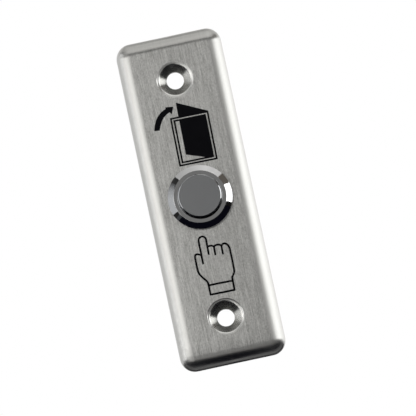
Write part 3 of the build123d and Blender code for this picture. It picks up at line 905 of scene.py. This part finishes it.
# %% Draw the door
face_height = -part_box("faceplate")[0].y
film = 0.02 * MM
print_lean = radians(-0.8)  # the signs are printed a little askew, as in the photograph
door_place = (1.63 * MM, -face_height, 16.05 * MM)
frame_line = 0.47
outer, inner = (5.265, 6.745), (4.445, 6.005)
frame_outlines = []
for half_width, half_height in (outer, inner):
    for shrink in (0, frame_line):
        w, h = half_width - shrink, half_height - shrink
        frame_outlines.append(rectangle(-w, -h, w, h))
inner_edge = (inner[0] - frame_line + 0.02, inner[1] - frame_line + 0.02)
leaf_left, leaf_top, leaf_foot = -2.92, 10.62, -3.84
leaf_above = [(leaf_left, outer[1] - 0.02), (outer[0], outer[1] - 0.02), (leaf_left + 0.05, leaf_top)]
leaf_inside = [
    (leaf_left, leaf_foot), (2.1, -inner_edge[1]), (inner_edge[0], -inner_edge[1]),
    inner_edge, (leaf_left, inner_edge[1]),
]
swing_arrow = [
    (-10.03, 4.13), (-9.64, 5.52), (-9.06, 6.82), (-8.30, 7.90), (-7.33, 8.76), (-6.50, 9.22), (-5.90, 9.44),  # outside
    (-5.88, 9.90), (-3.76, 9.66), (-4.52, 7.66),  # head
    (-4.97, 8.38), (-5.84, 7.97), (-6.74, 7.30), (-7.48, 6.36), (-8.09, 5.22), (-8.57, 3.97),  # inside
]
print_values = {"Film": film, "Lean": print_lean, "Material": plastics["sign_enamel"]}
door_parts = {
    "door_frame_sign": frame_outlines, "door_leaf_sign": [leaf_above, leaf_inside], "swing_arrow_sign": [swing_arrow],
}
for name, outlines in door_parts.items():
    path = drawing(name + "_path", outlines, closed=True)
    sign = grown(path, name, patch_tree, {**print_values, "Place": door_place})
    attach(sign, "housing")

# %% [markdown]
# ### The hand sign
# An outline hand in one line weight: a raised finger, three knuckles, a thumb and a cuff.
# Every stroke is a path, so the pen tree draws it, and round ends come from short runs of points.

# %% Draw the hand
hand_place = (0.07 * MM, -face_height - film / 2, -18.42 * MM)  # of the line's middle


def smooth_path(points, steps=6):
    """Round a run of points off with a smooth cubic curve through all of them."""
    ends = [points[0], *points, points[-1]]
    made = []
    for before, a, b, after in zip(ends, ends[1:], ends[2:], ends[3:]):
        for i in range(steps):
            t = i / steps
            made.append(tuple(
                0.5 * (2 * q + (r - p) * t + (2 * p - 5 * q + 4 * r - s) * t * t + (3 * q - p - 3 * r + s) * t ** 3)
                for p, q, r, s in zip(before, a, b, after)
            ))
    return made + [points[-1]]


finger = [(-3.05, 0.45), (-3.04, 6.6)] + bend((-2.00, 6.90), 1.02, 172, 8, 12) + [(-1.00, 6.5), (-1.06, 2.72)]
knuckles = [
    smooth_path([(-1.02, 4.92), (-0.35, 5.02), (0.30, 4.94), (0.68, 4.66)]),
    smooth_path([(0.68, 4.66), (1.15, 4.88), (1.75, 4.94), (2.30, 4.82), (2.72, 4.40)]),
]
creases = [[(0.68, 4.66), (0.66, 2.25)], [(2.72, 4.40), (2.68, 2.05)]]
little_side = smooth_path([
    (2.72, 4.40), (3.10, 4.80), (3.62, 4.92), (4.15, 4.66), (4.52, 4.10), (4.76, 3.20), (4.80, 1.0),
    (4.82, -1.5), (4.76, -2.9), (4.55, -3.55), (4.15, -4.12), (3.90, -4.50), (3.86, -5.40),
])
thumb_side = smooth_path([
    (-3.06, 3.02), (-3.60, 3.28), (-4.20, 3.46), (-4.66, 3.28), (-4.80, 2.75), (-4.82, 1.2), (-4.80, -0.6),
    (-4.66, -1.6), (-4.20, -2.55), (-3.55, -3.45), (-2.98, -4.18), (-2.74, -4.75), (-2.70, -5.40),
])
cuff = [
    [(-2.87, -5.40), (4.03, -5.40)], [(-2.87, -7.98), (4.03, -7.98)],
    [(-2.70, -5.40), (-2.70, -7.98)], [(3.86, -5.40), (3.86, -7.98)],
]
hand_strokes = [finger, *knuckles, *creases, little_side, thumb_side, *cuff]
hand = grown(
    drawing("hand_path", hand_strokes), "hand_sign", pen_tree,
    {**print_values, "Place": hand_place, "Width": 0.54 * MM},
)
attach(hand, "housing")

# %% [markdown]
# ## Thread on the barrel
# The barrel carries a 1 mm thread for the nut. The CAD barrel is turned to the root of the thread, so here
# only the ridge is added: a blunt triangle that follows a helix. Curve to Mesh sweeps it, and its scale fades
# at both ends, because a rolled thread runs out into the barrel and has no cut face.

# %% Geometry Nodes: rolled thread
tree, entry, leave = geometry_tree(
    "rolled_thread",
    [("Root Radius", "Float", 7.4 * MM), ("Depth", "Float", 0.6 * MM), ("Pitch", "Float", 1 * MM),
     ("Front", "Float", 1.9 * MM), ("Length", "Float", 11.4 * MM), ("Material", "Material", None)],
)
thread_tree = tree
root, depth, pitch, front, length = (
    entry.outputs[label] for label in ("Root Radius", "Depth", "Pitch", "Front", "Length")
)
turns = math_node(tree, "DIVIDE", length, pitch)
helix = add(
    tree, "GeometryNodeCurveSpiral", Resolution=72, Rotations=turns, Start_Radius=root, End_Radius=root, Height=length,
).outputs[0]
level = add(tree, "GeometryNodeSetCurveNormal", {"mode": "Z_UP"}, Curve=helix).outputs[0]
along = add(tree, "GeometryNodeSplineParameter").outputs["Factor"]
from_end = math_node(tree, "MINIMUM", along, math_node(tree, "SUBTRACT", 1.0, along))
swell = math_node(tree, "MINIMUM", times(tree, times(tree, from_end, turns), 2.0), 1.0)
half_crest, half_foot = 0.06, 0.46  # half widths of the ridge, in pitches
crest, foot = times(tree, depth, -1.0), 0.05 * MM  # out of and into the barrel: the profile's X points inwards
profile_corners = [(crest, half_crest), (crest, -half_crest), (foot, -half_foot), (foot, half_foot)]
ridge = add(tree, "GeometryNodeCurvePrimitiveQuadrilateral", {"mode": "POINTS"})
for number, (inwards, pitches) in enumerate(profile_corners, 1):
    corner = add(tree, "CombineXYZ", X=inwards, Y=times(tree, pitch, pitches)).outputs[0]
    tree.links.new(corner, ridge.inputs[f"Point {number}"])
rolled = add(
    tree, "GeometryNodeCurveToMesh", Curve=level, Profile_Curve=ridge.outputs[0],
    Scale=math_node(tree, "MAXIMUM", swell, 0.02), Fill_Caps=True,
).outputs[0]
begin = add(tree, "CombineXYZ", Y=times(tree, front, -1.0)).outputs[0]
lying = add(tree, "GeometryNodeTransform", Geometry=rolled, Rotation=(-pi / 2, 0, 0), Translation=begin).outputs[0]
close_tree(tree, lying, entry, leave)

# %% Roll the thread
seed_mesh = bpy.data.objects.new("thread_start", bpy.data.meshes.new("thread_start"))
bpy.context.scene.collection.objects.link(seed_mesh)
thread = grown(seed_mesh, "barrel_thread", thread_tree, {"Material": polished})
low = [min(v.co[i] for v in thread.data.vertices) for i in range(3)]
high = [max(v.co[i] for v in thread.data.vertices) for i in range(3)]
print("thread box mm", [round(x / MM, 2) for x in low], [round(x / MM, 2) for x in high])
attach(thread, "housing")

# %% [markdown]
# ## Sizes, and the end
# The box of everything shown is compared with the CAD box, and how much it grew is printed.
# Blender must not change the object's dimensions.

# %% Compare both boxes and finish
seen_low, seen_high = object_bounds()
growth = (seen_high - seen_low) - (cad_high - cad_low)
print("box grew by mm", [round(x / MM, 3) for x in growth])
